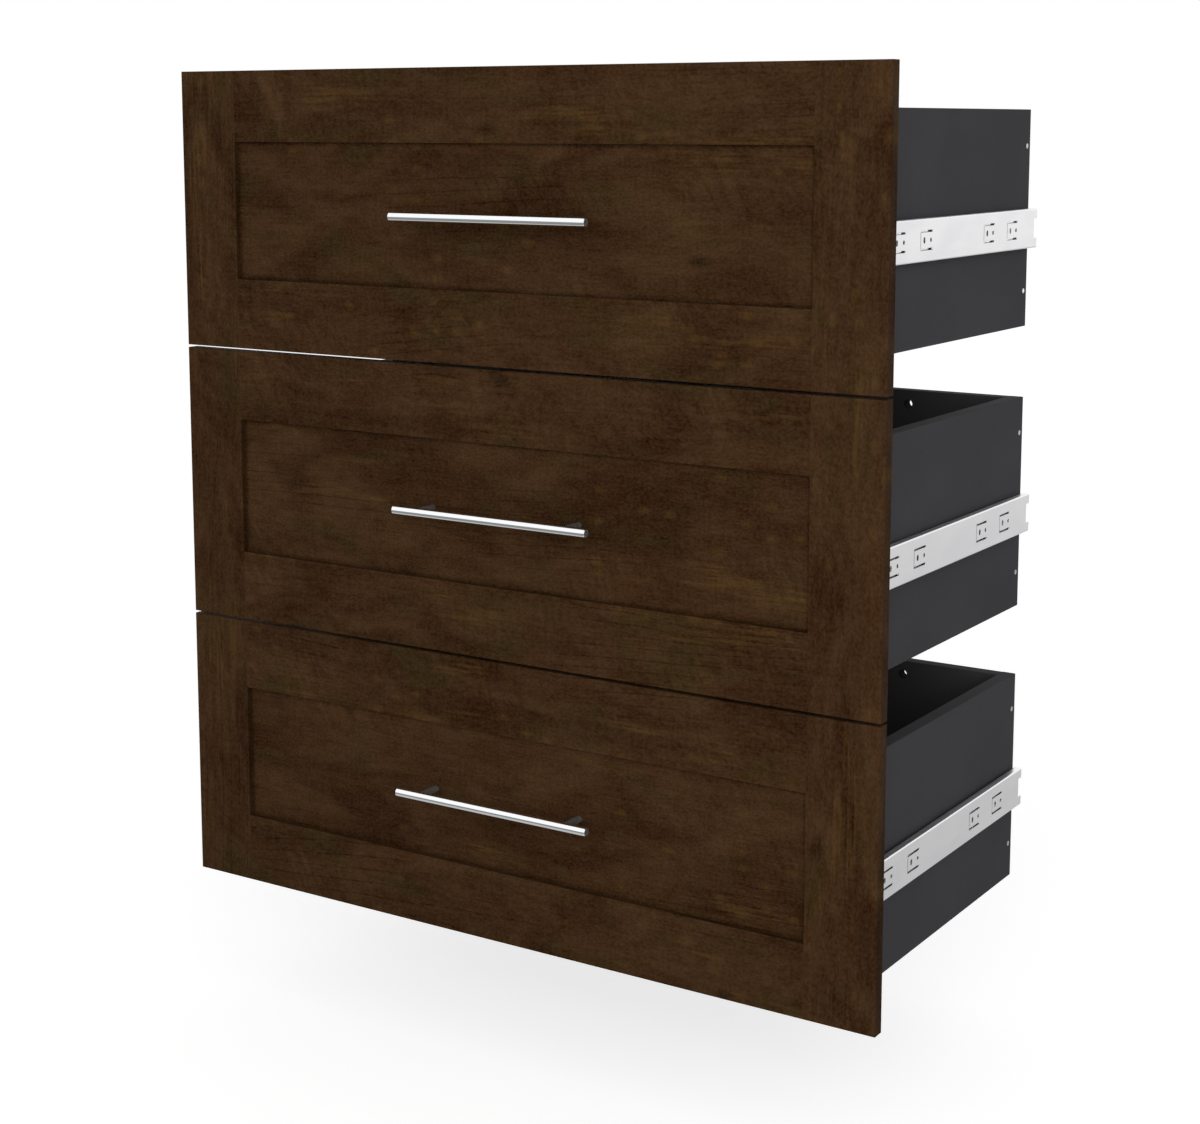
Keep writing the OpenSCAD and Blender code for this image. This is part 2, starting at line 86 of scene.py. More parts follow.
# A lever is lifted on one side and pressed down on the other, so that both hands can reach them
LEVER_TURN = {"left": -1, "right": 1}

# Width of the camera's sensor in millimetres
SENSOR_W = 36

# Half the side of the floor in metres
FLOOR_HALF = 20.0

# Steps along a lever's outline, and corners of its rivet's pin and head
OUTLINE_STEPS = 40
PIN_CORNERS = 24
HEAD_CORNERS = 32

# The stretch of the log from which each piece is cut, as its place along and across the grain
STILE_CUT = (31.7, 15.3, 23.6)
RAIL_CUT = (38.7, 35.9, 12.7)
PANEL_CUT = (5.2, 30.2, 32.1)

# Noise stays mostly between these levels, so a swing is spread over them
NOISE_LOW = 0.3
NOISE_HIGH = 0.7

# A pattern of the wood: its features a metre along and across the grain, where it starts, the
# detail, roughness and distortion of its noise, and the levels between which it sets in
Figure = namedtuple("Figure", "along across start detail roughness distortion low high",
                    defaults=(0.0, 2.0, 0.5, 0.0, 0.25, 0.75))
FIGURES = {
    "wander": Figure(1.4, 3.2, detail=1.0),
    "waver": Figure(9.0, 30.0, start=3.0, detail=1.0),
    "fade": Figure(3.0, 10.0, start=5.0, low=0.5, high=0.66),
    "clouds": Figure(6.0, 14.0, detail=3.0, distortion=1.0, low=0.28, high=0.72),
    "red": Figure(6.0, 14.0, start=1.7, detail=3.0, distortion=0.8, low=0.52, high=0.7),
    "olive": Figure(8.0, 17.0, start=7.3, detail=3.0, roughness=0.55, distortion=0.6,
                    low=0.52, high=0.7),
    "soot": Figure(7.0, 14.0, start=5.1, detail=4.0, roughness=0.58, distortion=0.8,
                   low=0.58, high=0.76),
    "gold": Figure(5.0, 26.0, start=3.7, detail=3.0, roughness=0.6, low=0.56, high=0.72),
    "flecked": Figure(4.0, 8.0, start=6.1, low=0.44, high=0.58),
    "rippled": Figure(5.0, 11.0, start=9.1, low=0.42, high=0.66),
    "ripple": Figure(26.0, 120.0, start=2.2, distortion=0.4),
    "fibres": Figure(250.0, 400.0, roughness=0.7),
    "streaks": Figure(16.0, 300.0, start=4.4),
    "weave": Figure(300.0, 18.0, start=6.6),
    "grain": Figure(42.0, 110.0, start=8.8, roughness=0.6),
}

# Levels of the long streaks between which a yellow patch takes them up
STREAK_ONSET = (0.36, 0.6)

# Where in a ring its dark line sets in, and where in the next ring it has faded
LINE_ONSET = (0.88, 0.98)
LINE_END = (0.04, 0.0)

# Round spots of the wood: cells a metre along and across the grain, the share of cells left
# without one, and the radii of its parts as shares of a cell
Spots = namedtuple("Spots", "along across rarity radii")
KNOTS = Spots(3.1, 6.5, rarity=0.72, radii=(0.34, 0.07))
FLECKS = Spots(34.0, 60.0, rarity=0.8, radii=(0.42,))
RARITY_EDGE = 0.02

# How far a surface has to face left or right, from 0 to 1, to count as a side or a bar's end
WOOD_SIDE = (0.9, 0.97)
BAR_END = (0.93, 0.97)

# A pattern of the other surfaces: its features a metre along X, Y and Z, the detail and roughness
# of its noise, and the levels between which it sets in
Noise = namedtuple("Noise", "scale detail roughness low high",
                   defaults=(2.0, 0.5, NOISE_LOW, NOISE_HIGH))
NOISES = {
    "board_print": Noise((900.0, 260.0, 900.0), detail=3.0, low=0.52, high=0.74),
    "board_mottle": Noise((9.0, 9.0, 14.0), detail=3.0),
    "plating_clouds": Noise((30.0, 12.0, 30.0), low=0.35, high=0.68),
    "slide_lines": Noise((1400.0, 9.0, 1400.0)),
    "screw_lines": Noise((500.0, 500.0, 500.0)),
    "steel_lines": Noise((300.0, 300.0, 300.0)),
    "bar_smudges": Noise((14.0, 90.0, 90.0), detail=4.0, roughness=0.6, low=0.35, high=0.7),
    "bar_polish": Noise((30.0, 2600.0, 2600.0)),
    "bar_rings": Noise((30.0, 900.0, 900.0), detail=1.0, low=0.35, high=0.65),
    "post_lines": Noise((60.0, 1500.0, 60.0)),
    "post_clouds": Noise((120.0, 120.0, 120.0), detail=3.0),
    "nylon_skin": Noise((2200.0, 2200.0, 2200.0)),
    "nylon_flow": Noise((80.0, 40.0, 80.0)),
}

# Painted shade: a hole's wall is fully dark inside this share of the radius of its dark edge
HOLE_FULL = 0.96


def linear(red, green, blue):
    """The scene's own colour for a display colour given as 0 to 255, by the sRGB curve."""
    def channel(value):
        part = value / 255
        return part / 12.92 if part <= 0.04045 else ((part + 0.055) / 1.055) ** 2.4
    return channel(red), channel(green), channel(blue)


def colour(name, description, *display):
    """A colour property whose default is a display colour."""
    return FloatVectorProperty(name=name, description=description, subtype="COLOR",
                               min=0, max=1, default=linear(*display))


def length(name, description, metres):
    """A length property in metres."""
    return FloatProperty(name=name, description=description, unit="LENGTH", precision=5,
                         default=metres)


def share(name, description, value):
    """A property that runs from none to all."""
    return FloatProperty(name=name, description=description, subtype="FACTOR", min=0, max=1,
                         default=value)


def angle(name, description, degrees):
    """An angle property, given in degrees."""
    return FloatProperty(name=name, description=description, subtype="ANGLE",
                         default=math.radians(degrees))


def place_property(name, description, *metres):
    """A point in the frame of the part."""
    return FloatVectorProperty(name=name, description=description, subtype="TRANSLATION",
                               default=metres)


class WoodLooks(bpy.types.PropertyGroup):
    """Stained maple of the drawer fronts"""
    dark: colour("Dark wood", "Stain where the wood took most of it", 46, 28.5, 15)
    light: colour("Light wood", "Stain where the wood took least of it", 63, 43.5, 26)
    olive: colour("Olive patches", "Greenish clouds in the stain", 48, 38, 18)
    fleck: colour("Flecks", "Small yellow spots and long yellow patches", 80, 59, 29)
    red: colour("Red patches", "Red heartwood patches", 57, 36, 20)
    soot: colour("Dark patches", "Darkest clouds and the hearts of knots", 37, 26, 13)
    fibre: colour("Fibres", "What the fine fibres add or take away, almost grey", 40, 32, 23)
    olive_amount: share("Olive amount", "How strong the greenish clouds are", 0.55)
    red_amount: share("Red amount", "How strong the red patches are", 0.5)
    soot_amount: share("Dark amount", "How strong the darkest clouds are", 0.36)
    gold_amount: share("Yellow amount", "How strong the long yellow patches are", 0.4)
    fleck_amount: share("Fleck amount", "How strong the small yellow spots are", 0.36)
    heart_amount: share("Heart amount", "How strong the hearts of the knots are", 0.85)
    ring_pitch: length("Ring pitch", "Distance between two growth lines", 0.013)
    flow: FloatProperty(name="Flow", description="How many rings the figure wanders", default=7.0)
    waver: FloatProperty(name="Waver", description="How many rings a line wavers", default=0.35)
    knot_bend: FloatProperty(name="Knot bend", description="How many rings bend round a knot",
                             default=1.5)
    slope: FloatProperty(name="Slope", description="Rise of the growth lines along the grain",
                         default=0.06)
    line_depth: share("Line depth", "How much a growth line darkens the wood", 0.34)
    # Painted shade: faces of the wood that turn left or right, the sides of the fronts and the walls
    # of the recesses, are darkened by this share
    edge: share("Edge", "How light the sides of the fronts are, against their faces", 0.82)
    # Painted shade along a panel's frame, where the frame round the recess shades it; it is not stain
    frame_shade: share("Corner", "How light a panel is along its frame, where the stain gathers", 0.66)
    frame_shade_w: length("Corner width", "How far from the frame that darker stain reaches", 0.006)
    tongue: length("Tongue", "How far a panel reaches into its frame", 0.008)
    fibre_depth: share("Fibre depth", "How much the short fibres vary", 0.8)
    streak_depth: share("Streak depth", "How much the long fibres vary", 0.22)
    weave_share: share("Weave share", "Depth of the weave across the long fibres, to theirs", 0.8)
    grain_depth: share("Grain depth", "How much the coarser grain varies", 0.34)
    curl_depth: share("Curl depth", "How much the ripples across the grain vary", 0.34)
    curl_turn: angle("Curl turn", "Slant of the ripples", 62)
    sheen_level: share("Reflection", "Strength of the lacquer's reflection", 0.015)
    roughness: share("Roughness", "Roughness of the satin lacquer", 0.5)
    gloss_swing: share("Gloss swing", "How much that roughness varies up and down", 0.06)
    relief: length("Relief", "Height of the fibres in the lacquer", 0.0001)
    line_relief: share("Line relief", "How deep a growth line lies, against the fibres", 0.6)


class BoardLooks(bpy.types.PropertyGroup):
    """Charcoal boards of the boxes"""
    face: colour("Board", "Charcoal of the box boards", 58, 58, 60)
    speck: colour("Speckle", "Fine lighter print in the charcoal", 65, 65, 67)
    # The dark walls of the holes are painted shade
    hole_shade: share("Hole wall", "How light the walls of the holes are, against the board", 0.12)
    hole_in: length("Hole place", "From the end of a back board to the axis of its hole", 0.117)
    hole_drop: length("Hole drop", "From the top of a back board to the axis of its hole", 0.016)
    hole_r: length("Hole radius", "Radius of the dark edge of those holes", 0.0054)
    sheen_level: share("Reflection", "Strength of the melamine's reflection", 0.01)
    roughness: share("Roughness", "Roughness of the melamine", 0.55)
    gloss_swing: share("Gloss swing", "How much that roughness varies up and down", 0.07)
    tone_swing: share("Tone swing", "How much the tone varies up and down", 0.05)
    relief: length("Relief", "Depth of the pressed grain", 0.00004)


class MetalLooks(bpy.types.PropertyGroup):
    """Chrome, zinc, ball steel and the nylon of the levers"""
    chrome: colour("Chrome", "Polished bars of the handles", 251, 252, 253)
    bar_end: colour("Bar end", "Machined ends of the bars", 92, 92, 93)
    # The posts' dark grey is painted reflection of the dark wood and painted shade behind the bars;
    # the rings on the bars' ends mix in this colour too
    post: colour("Post", "Satin posts behind the bars", 92, 88, 86)
    zinc: colour("Zinc", "Plated slides", 246, 246, 247)
    zinc_dull: colour("Dull zinc", "Cloudy patches of the plating", 240, 240, 242)
    screw: colour("Screw", "Zinc of the screws", 196, 196, 198)
    steel: colour("Steel", "Balls, their strips and the rivets", 205, 206, 208)
    nylon: colour("Nylon", "Release levers", 22, 22, 23)
    slide_roughness: share("Slide roughness", "Roughness of the plated slides", 0.34)
    screw_roughness: share("Screw roughness", "Roughness of the screws", 0.26)
    rivet_roughness: share("Rivet roughness", "Roughness of the rivets", 0.25)
    ball_roughness: share("Ball roughness", "Roughness of the balls and their strips", 0.18)
    cloud_swing: share("Cloud swing", "How much the clouds vary those four up and down", 0.02)
    line_swing: share("Line swing", "How much the fine lines vary them up and down", 0.03)
    line_relief: length("Line relief", "Depth of the fine lines in the plating", 0.000002)
    bar_clean: share("Clean bar", "Roughness of the bars where they are cleanest", 0.05)
    bar_smudged: share("Smudged bar", "Roughness of the bars where they are smudged", 0.1)
    bar_relief: length("Bar relief", "Depth of the polishing marks", 0.000001)
    end_rough: share("Rough ends", "How much rougher than the bars their ends are", 0.3)
    end_metal: share("Metallic ends", "How metallic the ends of the bars are", 0.25)
    post_metal: share("Metallic posts", "How metallic the posts are", 0.25)
    post_sheen: share("Post reflection", "Strength of the posts' reflection", 0.35)
    post_roughness: share("Post roughness", "Roughness of the posts", 0.44)
    post_gloss_swing: share("Post gloss", "How much that roughness varies up and down", 0.06)
    post_tone_swing: share("Post tone", "How much their tone varies up and down", 0.1)
    post_relief: length("Post relief", "Depth of the lines round the posts", 0.000004)
    nylon_roughness: share("Nylon roughness", "Roughness of the levers", 0.5)
    nylon_gloss_swing: share("Nylon gloss", "How much that roughness varies up and down", 0.08)
    nylon_tone_swing: share("Nylon tone", "How much their tone varies up and down", 0.15)
    nylon_relief: length("Nylon relief", "Depth of the skin of the levers", 0.00003)


class LeverSizes(bpy.types.PropertyGroup):
    """Release levers of the slides"""
    pivot_in: length("Pivot place", "From the front end of the slide to the lever's pivot", 0.208)
    reach: length("Reach", "From the pivot to the middle of the finger pad", 0.031)
    pivot_r: length("Pivot radius", "Radius of the round end at the pivot", 0.0052)
    pad_r: length("Pad radius", "Radius of the finger pad", 0.0046)
    arm_r: length("Arm radius", "Half the height of the slim arm", 0.0021)
    rise: length("Rise", "How far the pad stands above or below the pivot", 0.0032)
    sheet: length("Sheet", "Thickness of the web that carries the lever", 0.0012)
    thickness: length("Thickness", "Thickness of the lever", 0.003)
    gap: length("Gap", "Gap between the lever and the web that carries it", 0.0003)
    ease: length("Edge", "Width of the softened edges", 0.0004)
    rivet_r: length("Rivet radius", "Radius of the rivet's head", 0.0026)
    rivet_h: length("Rivet height", "Height of the rivet's head", 0.0009)
    rib_pitch: length("Rib pitch", "Distance between the ribs of the finger pad", 0.0018)
    rib_h: length("Rib height", "Height of those ribs", 0.0005)
    rib_share: share("Rib length", "Length of a rib, against the pad's height there", 0.75)
    rib_count: IntProperty(name="Ribs", description="Number of ribs on the finger pad", default=3)


class StageLooks(bpy.types.PropertyGroup):
    """Camera, floor and light"""
    floor_drop: length("Floor drop", "How far the floor lies below the lowest front", 0.14)
    floor: colour("Floor", "Colour of the floor", 235, 235, 235)
    floor_glow: share("Floor glow", "How far the seen floor is lifted to white", 0.22)
    floor_glow_near: FloatProperty(name="Near glow", default=2.8,
                                   description="Level that turns the floor round the part white")
    floor_glow_far: FloatProperty(name="Far glow", default=2.9,
                                  description="Level that turns the far floor white")
    floor_near: length("Near floor", "Where the near level ends, from the part's origin", 1.2)
    floor_far: length("Far floor", "Where the far level starts, from the part's origin", 6.0)
    # What metal sees of the floor is painted shade, darker under the part and in front of it
    gloss_near: share("Near floor in metal", "How light metal sees the floor under the part", 0.42)
    gloss_far: share("Far floor in metal", "How light metal sees the far floor", 0.86)
    gloss_reach: length("Reach", "Where metal sees the far level, from the part's origin", 14.0)
    front_shade: share("Front floor in metal",
                       "How light metal sees the floor in front, against the rest", 0.42)
    front_from: length("Front floor edge", "How far in front of the fronts that floor starts", 0.2)
    front_to: length("Front floor full", "How far in front of them it is fully shaded", 0.55)
    sky_level: FloatProperty(name="Sky level", default=1.13,
                             description="Light of the room on the object, from the side")
    zenith_level: FloatProperty(name="Zenith level", default=0.36,
                                description="Light of the room from straight above")
    key_power: FloatProperty(name="Key power", default=64,
                             description="Power of the soft front lamp, in watts")
    key_size: length("Key size", "Side of that lamp", 2.2)
    key_place: place_property("Key place", "Where that lamp stands", 2.0, -3.1, 1.25)
    lens: FloatProperty(name="Lens", description="Focal length in millimetres", default=63.39)
    shift: FloatProperty(name="Shift", default=-0.12,
                         description="Upward shift of the view, in widths of the picture")
    camera_yaw: angle("Yaw", "Turn of the camera", 32.78)
    camera_pitch: angle("Pitch", "Tilt of the camera below level", 7.94)
    camera_place: place_property("Camera place", "Where the camera stands",
                                 1.2983, -2.0153, 0.8978)


def add(tree, kind, sockets=None, **settings):
    """Adds a node; each socket gets a value or a link from another node's output."""
    made = tree.nodes.new(kind)
    for name, value in settings.items():
        setattr(made, name, value)
    for name, source in (sockets or {}).items():
        connect(tree, source, made.inputs[name])
    return made


def connect(tree, source, target):
    """Links an output to a socket, or sets the socket to a plain value."""
    if isinstance(source, bpy.types.NodeSocket):
        tree.links.new(source, target)
    else:
        target.default_value = source


def math_node(tree, operation, first, second=0.0, third=0.0):
    """The result of a Math node."""
    made = add(tree, "ShaderNodeMath", {0: first, 1: second, 2: third}, operation=operation)
    return made.outputs[0]


def vector_node(tree, operation, first, second, output="Vector"):
    """The result of a Vector Math node."""
    made = add(tree, "ShaderNodeVectorMath", {0: first, 1: second}, operation=operation)
    return made.outputs[output]


def scaled_by(tree, source, level):
    """A colour times a level, both of which may be nodes' outputs."""
    made = add(tree, "ShaderNodeVectorMath", {0: source, "Scale": level}, operation="SCALE")
    return made.outputs["Vector"]


def parts_of(tree, vector):
    """The X, Y and Z of a vector, by name."""
    return add(tree, "ShaderNodeSeparateXYZ", {"Vector": vector}).outputs


def ramp(tree, value, low, high, to_low=0.0, to_high=1.0):
    """A smooth step of a value from one range to another."""
    return add(tree, "ShaderNodeMapRange", {
        "Value": value, "From Min": low, "From Max": high, "To Min": to_low, "To Max": to_high
    }, interpolation_type="SMOOTHSTEP").outputs["Result"]


def swing(tree, source, middle, depth):
    """A noise spread over a range, given by its middle and how far it reaches up and down."""
    return ramp(tree, source, NOISE_LOW, NOISE_HIGH, middle - depth, middle + depth)


def mix(tree, amount, under, over):
    """One colour laid over another."""
    made = add(tree, "ShaderNodeMix", data_type="RGBA")
    for name, source in (("Factor_Float", amount), ("A_Color", under), ("B_Color", over)):
        connect(tree, source, socket_of(made.inputs, name))
    return socket_of(made.outputs, "Result_Color")


def socket_of(sockets, identifier):
    """A socket by its identifier, because a Mix node has several sockets of one name."""
    return next(socket for socket in sockets if socket.identifier == identifier)


def opaque(value):
    """A colour with full alpha."""
    return (*value, 1.0)


def noise(tree, vector, scale, detail, roughness, distortion=0.0):
    """Smooth noise with so many features a metre along each axis of a vector."""
    return add(tree, "ShaderNodeTexNoise", {
        "Vector": vector_node(tree, "MULTIPLY", vector, scale), "Scale": 1.0, "Detail": detail,
        "Roughness": roughness, "Distortion": distortion
    }).outputs["Fac"]


def new_surface(name, **sockets):
    """A material with one Principled shader, whose plain values are set on its own sockets."""
    material = bpy.data.materials.new(name)
    tree = empty_tree(material)
    shader = add(tree, "ShaderNodeBsdfPrincipled")
    for socket, value in sockets.items():
        shader.inputs[socket.replace("_", " ")].default_value = value
    add(tree, "ShaderNodeOutputMaterial", {"Surface": shader.outputs["BSDF"]})
    return material, tree, shader


def empty_tree(owner):
    """The node tree of a material or world, with nothing in it."""
    owner.use_nodes = True
    owner.node_tree.nodes.clear()
    return owner.node_tree


def coordinates(tree, kind="Object"):
    """The surface's coordinates. Object gives metres in the frame of the part."""
    return add(tree, "ShaderNodeTexCoord").outputs[kind]


def turned_to_x(tree):
    """How far the surface faces left or right, from 0 to 1."""
    return math_node(tree, "ABSOLUTE", parts_of(tree, coordinates(tree, "Normal"))["X"])


def bump(tree, shader, height, depth):
    """Raises the surface by a height pattern, depth in metres."""
    normal = add(tree, "ShaderNodeBump", {"Height": height, "Strength": 1.0, "Distance": depth})
    connect(tree, normal.outputs["Normal"], shader.inputs["Normal"])


def finish(nodes, material):
    """Gives CAD nodes a material."""
    for name in nodes:
        data = frame["nodes"][name].data
        data.materials.clear()
        data.materials.append(material)


def figure(tree, place, kind):
    """The noise of a pattern of the wood."""
    look = FIGURES[kind]
    moved = vector_node(tree, "ADD", place, (look.start, look.start / 2, look.start / 3))
    return noise(tree, moved, (look.along, look.across, look.across), look.detail,
                 look.roughness, look.distortion)


def onset(tree, source, look, to_low=0.0, to_high=1.0):
    """Where the noise of a pattern sets in, from none to all, or over another range."""
    return ramp(tree, source, look.low, look.high, to_low, to_high)


def patches(tree, place, kind):
    """Where a pattern of the wood sets in."""
    return onset(tree, figure(tree, place, kind), FIGURES[kind])


def spots(tree, place, kind):
    """Round spots at the middle of a few cells, once for each of their radii."""
    scaled = vector_node(tree, "MULTIPLY", place, (kind.along, kind.across, kind.across))
    cells = add(tree, "ShaderNodeTexVoronoi", {"Vector": scaled, "Scale": 1.0},
                voronoi_dimensions="2D")
    pick = add(tree, "ShaderNodeSeparateColor", {"Color": cells.outputs["Color"]}).outputs[0]
    chosen = ramp(tree, pick, kind.rarity, kind.rarity + RARITY_EDGE)
    return [math_node(tree, "MULTIPLY", chosen, ramp(tree, cells.outputs["Distance"], radius, 0.0))
            for radius in kind.radii]


def growth_lines(tree, looks, place, knot):
    """Growth lines, the contours of a slowly wandering field. They bend round knots and fade."""
    parts = parts_of(tree, place)
    risen = math_node(tree, "MULTIPLY_ADD", parts["X"], -looks.slope, parts["Y"])
    field = math_node(tree, "DIVIDE", risen, looks.ring_pitch)
    for source, rings in ((figure(tree, place, "wander"), looks.flow),
                          (figure(tree, place, "waver"), looks.waver),
                          (knot, looks.knot_bend)):
        field = math_node(tree, "MULTIPLY_ADD", source, rings, field)
    phase = math_node(tree, "FRACT", field)
    line = math_node(tree, "MAXIMUM", ramp(tree, phase, *LINE_ONSET), ramp(tree, phase, *LINE_END))
    return math_node(tree, "MULTIPLY", line, patches(tree, place, "fade"))


def stain(tree, looks, place, clouds, streaks, heart):
    """The stain's colour: light and dark clouds, with patches and spots of other tones on them."""
    # The long yellow patches are made of fine streaks, and the flecks gather in some places
    gold = math_node(tree, "MULTIPLY", patches(tree, place, "gold"),
                     ramp(tree, streaks, *STREAK_ONSET))
    fleck = math_node(tree, "MULTIPLY", spots(tree, place, FLECKS)[0],
                      patches(tree, place, "flecked"))
    shade = mix(tree, onset(tree, clouds, FIGURES["clouds"]), opaque(looks.dark),
                opaque(looks.light))
    for patch, tint, amount in ((patches(tree, place, "red"), looks.red, looks.red_amount),
                                (patches(tree, place, "olive"), looks.olive, looks.olive_amount),
                                (patches(tree, place, "soot"), looks.soot, looks.soot_amount),
                                (gold, looks.fleck, looks.gold_amount),
                                (fleck, looks.fleck, looks.fleck_amount),
                                (heart, looks.soot, looks.heart_amount)):
        shade = mix(tree, math_node(tree, "MULTIPLY", patch, amount), shade, opaque(tint))
    return shade


def ripples(tree, looks, place):
    """Ripples that slant across the grain in some places, from -0.5 to 0.5."""
    slanted = add(tree, "ShaderNodeVectorRotate", {"Vector": place, "Angle": looks.curl_turn},
                  rotation_type="Z_AXIS").outputs["Vector"]
    ripple = onset(tree, figure(tree, slanted, "ripple"), FIGURES["ripple"], -0.5, 0.5)
    return math_node(tree, "MULTIPLY", ripple, patches(tree, place, "rippled"))


def painted_frame_shade(tree, looks, parts, low, high):
    """Painted shade: how light a panel is left near the opening in its frame, given as two corners."""
    gaps = [math_node(tree, "SUBTRACT", parts["X"], low.x),
            math_node(tree, "SUBTRACT", high.x, parts["X"]),
            math_node(tree, "SUBTRACT", parts["Z"], low.z),
            math_node(tree, "SUBTRACT", high.z, parts["Z"])]
    nearest = gaps[0]
    for gap in gaps[1:]:
        nearest = math_node(tree, "MINIMUM", nearest, gap)
    return ramp(tree, nearest, 0.0, looks.frame_shade_w, looks.frame_shade, 1.0)


def fine_grain(tree, looks, place, streaks):
    """What the fibres, the weave across them and the coarser grain add or take away."""
    fine = 0.0
    for kind, source, depth in (
            ("fibres", figure(tree, place, "fibres"), looks.fibre_depth),
            ("streaks", streaks, looks.streak_depth),
            ("weave", figure(tree, place, "weave"), looks.streak_depth * looks.weave_share),
            ("grain", figure(tree, place, "grain"), looks.grain_depth)):
        varied = onset(tree, source, FIGURES[kind], -depth / 2, depth / 2)
        fine = math_node(tree, "ADD", varied, fine)
    return fine


def wood(name, looks, grain, cut, opening=None):
    """Stained wood whose grain runs along X or Z, cut from a stretch of the log. A darker line of
    painted shade follows the opening in the frame, given as two corners."""
    material, tree, shader = new_surface(name, IOR=1.45, Specular_IOR_Level=looks.sheen_level)
    parts = parts_of(tree, coordinates(tree))
    along, across = ("X", "Z") if grain == "X" else ("Z", "X")
    joined = add(tree, "ShaderNodeCombineXYZ",
                 {"X": parts[along], "Y": parts[across], "Z": parts["Y"]})
    place = vector_node(tree, "ADD", joined.outputs["Vector"], cut)
    knot, heart = spots(tree, place, KNOTS)
    line = growth_lines(tree, looks, place, knot)
    clouds = figure(tree, place, "clouds")
    streaks = figure(tree, place, "streaks")

    # Growth lines and ripples make the wood lighter or darker. The sides that face left or right, and
    # a panel along its frame, are darkened as painted shade
    level = math_node(tree, "MULTIPLY_ADD", line, -looks.line_depth, 1.0)
    factors = [math_node(tree, "MULTIPLY_ADD", ripples(tree, looks, place), looks.curl_depth, 1.0),
               ramp(tree, turned_to_x(tree), *WOOD_SIDE, 1.0, looks.edge)]
    if opening:
        factors.append(painted_frame_shade(tree, looks, parts, *opening))
    for factor in factors:
        level = math_node(tree, "MULTIPLY", level, factor)

    stained = scaled_by(tree, stain(tree, looks, place, clouds, streaks, heart), level)
    fine = scaled_by(tree, tuple(looks.fibre), fine_grain(tree, looks, place, streaks))
    figured = vector_node(tree, "MAXIMUM", vector_node(tree, "ADD", stained, fine), (0, 0, 0))
    connect(tree, figured, shader.inputs["Base Color"])
    gloss = swing(tree, clouds, looks.roughness, -looks.gloss_swing)
    connect(tree, gloss, shader.inputs["Roughness"])
    height = math_node(tree, "MULTIPLY_ADD", line, -looks.line_relief, streaks)
    bump(tree, shader, height, looks.relief)
    return material


def plain_noise(tree, kind):
    """The noise of a pattern of the other surfaces."""
    look = NOISES[kind]
    return noise(tree, coordinates(tree), look.scale, look.detail, look.roughness)


def melamine(name, looks, holes=()):
    """Charcoal board: a fine even print with a pressed grain. The walls of holes in it are painted
    dark as shade.
    """
    material, tree, shader = new_surface(name, IOR=1.47, Specular_IOR_Level=looks.sheen_level)
    print_grain = plain_noise(tree, "board_print")
    speckle = onset(tree, print_grain, NOISES["board_print"])
    shade = mix(tree, speckle, opaque(looks.face), opaque(looks.speck))
    level = swing(tree, plain_noise(tree, "board_mottle"), 1.0, looks.tone_swing)
    flat = vector_node(tree, "MULTIPLY", coordinates(tree), (1, 0, 1))
    for x, z in holes:
        away = vector_node(tree, "DISTANCE", flat, (x, 0, z), output="Value")
        hole_shade = ramp(tree, away, looks.hole_r * HOLE_FULL, looks.hole_r, looks.hole_shade, 1.0)
        level = math_node(tree, "MULTIPLY", level, hole_shade)
    connect(tree, scaled_by(tree, shade, level), shader.inputs["Base Color"])
    gloss = swing(tree, print_grain, looks.roughness, looks.gloss_swing)
    connect(tree, gloss, shader.inputs["Roughness"])
    bump(tree, shader, print_grain, looks.relief)
    return material


def plated(name, looks, bright, roughness, lines):
    """Plated steel with cloudy patches and one of the patterns of fine lines."""
    material, tree, shader = new_surface(name, Metallic=1.0)
    clouds = plain_noise(tree, "plating_clouds")
    fine = plain_noise(tree, lines)
    dulled = onset(tree, clouds, NOISES["plating_clouds"])
    shade = mix(tree, dulled, opaque(bright), opaque(looks.zinc_dull))
    connect(tree, shade, shader.inputs["Base Color"])
    rough = math_node(tree, "ADD", swing(tree, clouds, 0.0, looks.cloud_swing),
                      swing(tree, fine, roughness, looks.line_swing))
    connect(tree, rough, shader.inputs["Roughness"])
    bump(tree, shader, fine, looks.line_relief)
    return material


def chrome(name, looks):
    """Polished bar whose machined ends are dull and show their turning rings."""
    material, tree, shader = new_surface(name, IOR=1.5)
    end = ramp(tree, turned_to_x(tree), *BAR_END)
    turned = onset(tree, plain_noise(tree, "bar_rings"), NOISES["bar_rings"])
    rings = mix(tree, turned, opaque(looks.post), opaque(looks.bar_end))
    connect(tree, mix(tree, end, opaque(looks.chrome), rings), shader.inputs["Base Color"])
    connect(tree, ramp(tree, end, 0.0, 1.0, 1.0, looks.end_metal), shader.inputs["Metallic"])
    smudged = onset(tree, plain_noise(tree, "bar_smudges"), NOISES["bar_smudges"],
                    looks.bar_clean, looks.bar_smudged)
    rough = math_node(tree, "MULTIPLY_ADD", end, looks.end_rough, smudged)
    connect(tree, rough, shader.inputs["Roughness"])
    bump(tree, shader, plain_noise(tree, "bar_polish"), looks.bar_relief)
    return material


def painted_dark_reflection(name, looks):
    """Posts painted dull dark grey, as painted reflection of the dark wood and painted shade behind
    the bars, with faint lines turned round them.
    """
    material, tree, shader = new_surface(name, IOR=1.5, Metallic=looks.post_metal,
                                         Specular_IOR_Level=looks.post_sheen)
    lines = plain_noise(tree, "post_lines")
    level = swing(tree, plain_noise(tree, "post_clouds"), 1.0, looks.post_tone_swing)
    connect(tree, scaled_by(tree, tuple(looks.post), level), shader.inputs["Base Color"])
    gloss = swing(tree, lines, looks.post_roughness, looks.post_gloss_swing)
    connect(tree, gloss, shader.inputs["Roughness"])
    bump(tree, shader, lines, looks.post_relief)
    return material


